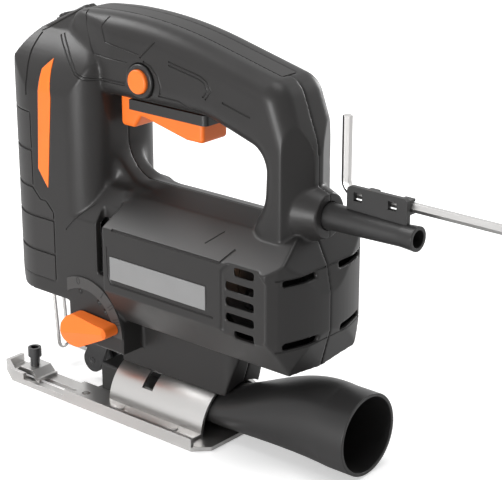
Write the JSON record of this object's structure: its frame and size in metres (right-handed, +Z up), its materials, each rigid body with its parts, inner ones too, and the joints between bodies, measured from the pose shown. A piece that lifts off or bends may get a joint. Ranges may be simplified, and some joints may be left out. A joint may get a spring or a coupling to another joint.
{
  "type": "corded jigsaw",
  "caption": "Hand-held corded jigsaw with a D-handle, tilting sole plate, orbital stroke selector, blade support roller, dust adapter and stowed hex key.",
  "frame": {"origin": "where the blade's line meets the plane of the sole", "axes": "+X from the nose to the cable, +Y to the tool's right, +Z up from the sole"},
  "size_m": [0.2801, 0.0731, 0.198],
  "materials": {
    "shell": "fine spark-eroded grain",
    "soft_grip": "soft-touch",
    "accent": "satin",
    "badge": "satin",
    "black_plastic": "satin",
    "bright_steel": "rolled and polished",
    "steel": "ground",
    "black_steel": "black oxide",
    "cast": "die cast",
    "laminate": "stacked sheet",
    "copper": "turned",
    "carbon": "pressed carbon"
  },
  "bodies": {
    "housing": {"housing_left": "shell", "housing_right": "shell", "housing_screws": "black_steel", "nose_pad": "soft_grip", "accent_left": "accent", "accent_right": "accent", "grip_strip": "soft_grip", "badge_left": "badge", "orbit_dial": "black_plastic", "trigger_pin": "steel", "trigger_frame": "black_plastic", "lock_collar": "black_plastic", "switch_body": "black_plastic", "cable_boot": "black_plastic", "key_holder": "black_plastic", "wire_guard": "bright_steel", "tilt_washer": "steel", "tilt_bolt": "black_steel", "fork_pin": "steel", "gear_spindle": "steel", "gear_frame": "cast", "plunger_bushes": "copper", "stator": "laminate", "bearing_front": "steel", "bearing_rear": "steel", "brush_holders": "black_plastic", "carbon_brushes": "carbon"},
    "shoe": {"shoe_plate": "bright_steel", "saddle": "bright_steel", "saddle_rivets": "bright_steel", "dust_duct": "black_plastic", "dust_tube": "black_plastic"},
    "fence_screw_body": {"fence_screw": "black_steel"},
    "armature": {"armature_shaft": "steel", "armature_core": "laminate", "commutator": "copper", "fan": "black_plastic", "pinion": "steel"},
    "gear": {"drive_gear": "steel", "crank_pin": "steel"},
    "plunger_body": {"plunger": "steel", "plunger_yoke": "steel", "blade_clamp": "black_steel"},
    "fork": {"roller_fork": "black_steel", "roller_pin": "steel"},
    "roller_body": {"roller": "steel"},
    "selector": {"orbit_knob": "accent"},
    "trigger_body": {"trigger": "accent"},
    "lock": {"lock_button": "accent"},
    "speed_dial": {"speed_wheel": "black_plastic"},
    "key": {"hex_key": "bright_steel"}
  },
  "joints": [
    {"name": "shoe_tilt", "type": "hinge", "parent": "housing", "child": "shoe", "pos_m": [0.06, 0, 0.0012], "axis": [1, 0, 0], "range_deg": [-45, 45]},
    {"name": "fence_screw_turn", "type": "hinge", "parent": "shoe", "child": "fence_screw_body", "pos_m": [-0.0157, -0.024, 0.01], "axis": [0, 0, 1], "continuous": true},
    {"name": "armature_spin", "type": "hinge", "parent": "housing", "child": "armature", "pos_m": [0.09, 0, 0.084], "axis": [1, 0, 0], "continuous": true},
    {"name": "gear_spin", "type": "hinge", "parent": "housing", "child": "gear", "pos_m": [0.0207, 0, 0.1056], "axis": [1, 0, 0], "continuous": true},
    {"name": "plunger_slide", "type": "slide", "parent": "housing", "child": "plunger_body", "axis": [0, 0, 1], "range_m": [-0.009, 0.009]},
    {"name": "fork_swing", "type": "hinge", "parent": "housing", "child": "fork", "pos_m": [0.026, 0, 0.045], "axis": [0, 1, 0], "range_deg": [0, 2.5], "stiffness_Nm_per_rad": 2, "springref_deg": -2.86},
    {"name": "roller_spin", "type": "hinge", "parent": "fork", "child": "roller_body", "pos_m": [0.009, 0, 0.0105], "axis": [0, 1, 0], "continuous": true},
    {"name": "selector_turn", "type": "hinge", "parent": "housing", "child": "selector", "pos_m": [0.0267, -0.03, 0.041], "axis": [0, -1, 0], "range_deg": [0, 88]},
    {"name": "trigger_pull", "type": "hinge", "parent": "housing", "child": "trigger_body", "pos_m": [0.042, 0, 0.163], "axis": [0, -1, 0], "range_deg": [0, 6], "stiffness_Nm_per_rad": 1.2, "springref_deg": -4.58},
    {"name": "lock_press", "type": "slide", "parent": "housing", "child": "lock", "axis": [0, 1, 0], "range_m": [0, 0.0025], "stiffness_N_per_m": 600, "springref_m": -0.002},
    {"name": "speed_turn", "type": "hinge", "parent": "housing", "child": "speed_dial", "pos_m": [-0.003, 0, 0.1815], "axis": [0, 1, 0], "range_deg": [0, 270]},
    {"name": "key_slide", "type": "slide", "parent": "housing", "child": "key", "axis": [0, 1, 0], "range_m": [0, 0.02]}
  ],
  "couplings": [
    {"joint": "gear_spin", "follows": "armature_spin", "ratio": -0.28571}
  ]
}
